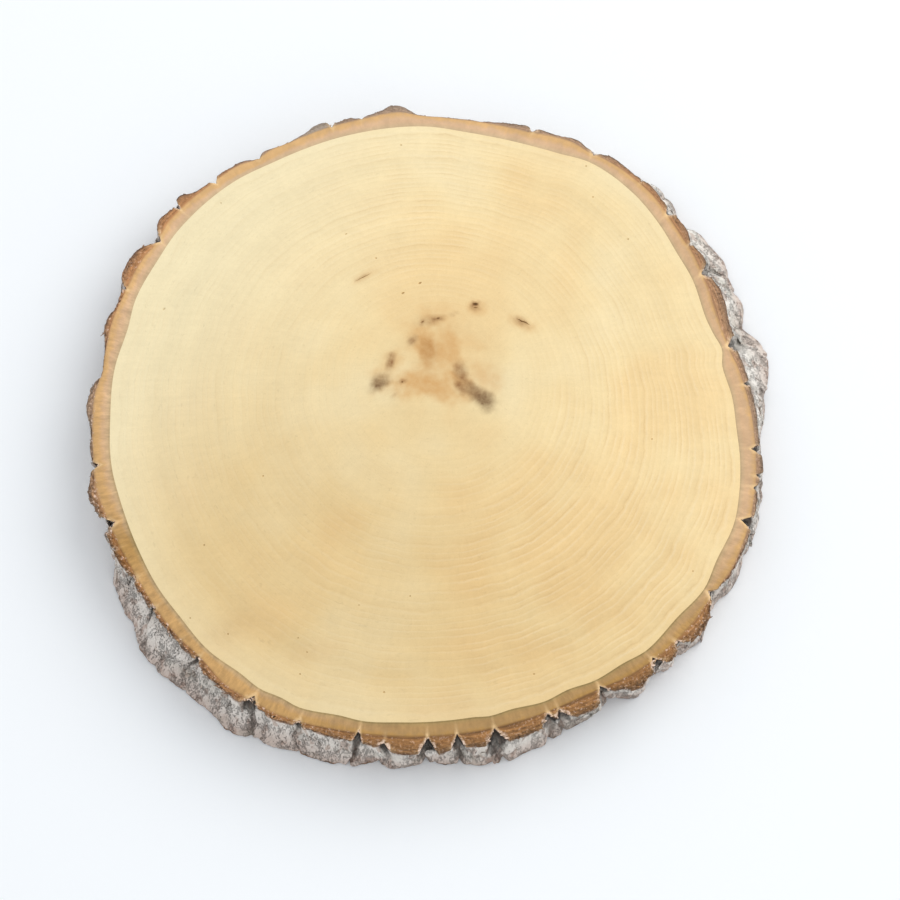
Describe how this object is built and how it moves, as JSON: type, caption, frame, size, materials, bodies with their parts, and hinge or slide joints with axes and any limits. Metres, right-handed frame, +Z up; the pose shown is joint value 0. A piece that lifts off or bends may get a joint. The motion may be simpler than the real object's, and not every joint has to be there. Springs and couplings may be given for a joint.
{
  "type": "wood slice",
  "caption": "Round slice cut across a tree trunk with its bark left on and its upper face sanded flat; lies flat as a board, table centrepiece or craft base.",
  "frame": {"origin": "on the underside, in the middle of the slice's bounding box", "axes": "+Z is up, out of the cut face, along the trunk; +X is to the right and +Y to the top of the slice as the picture shows it"},
  "size_m": [0.2778, 0.2754, 0.026],
  "materials": {
    "wood": "sanded, unsealed end grain",
    "bark": "rough, matt, natural bark"
  },
  "bodies": {
    "root": {"wood_slice": "wood"}
  },
  "joints": []
}
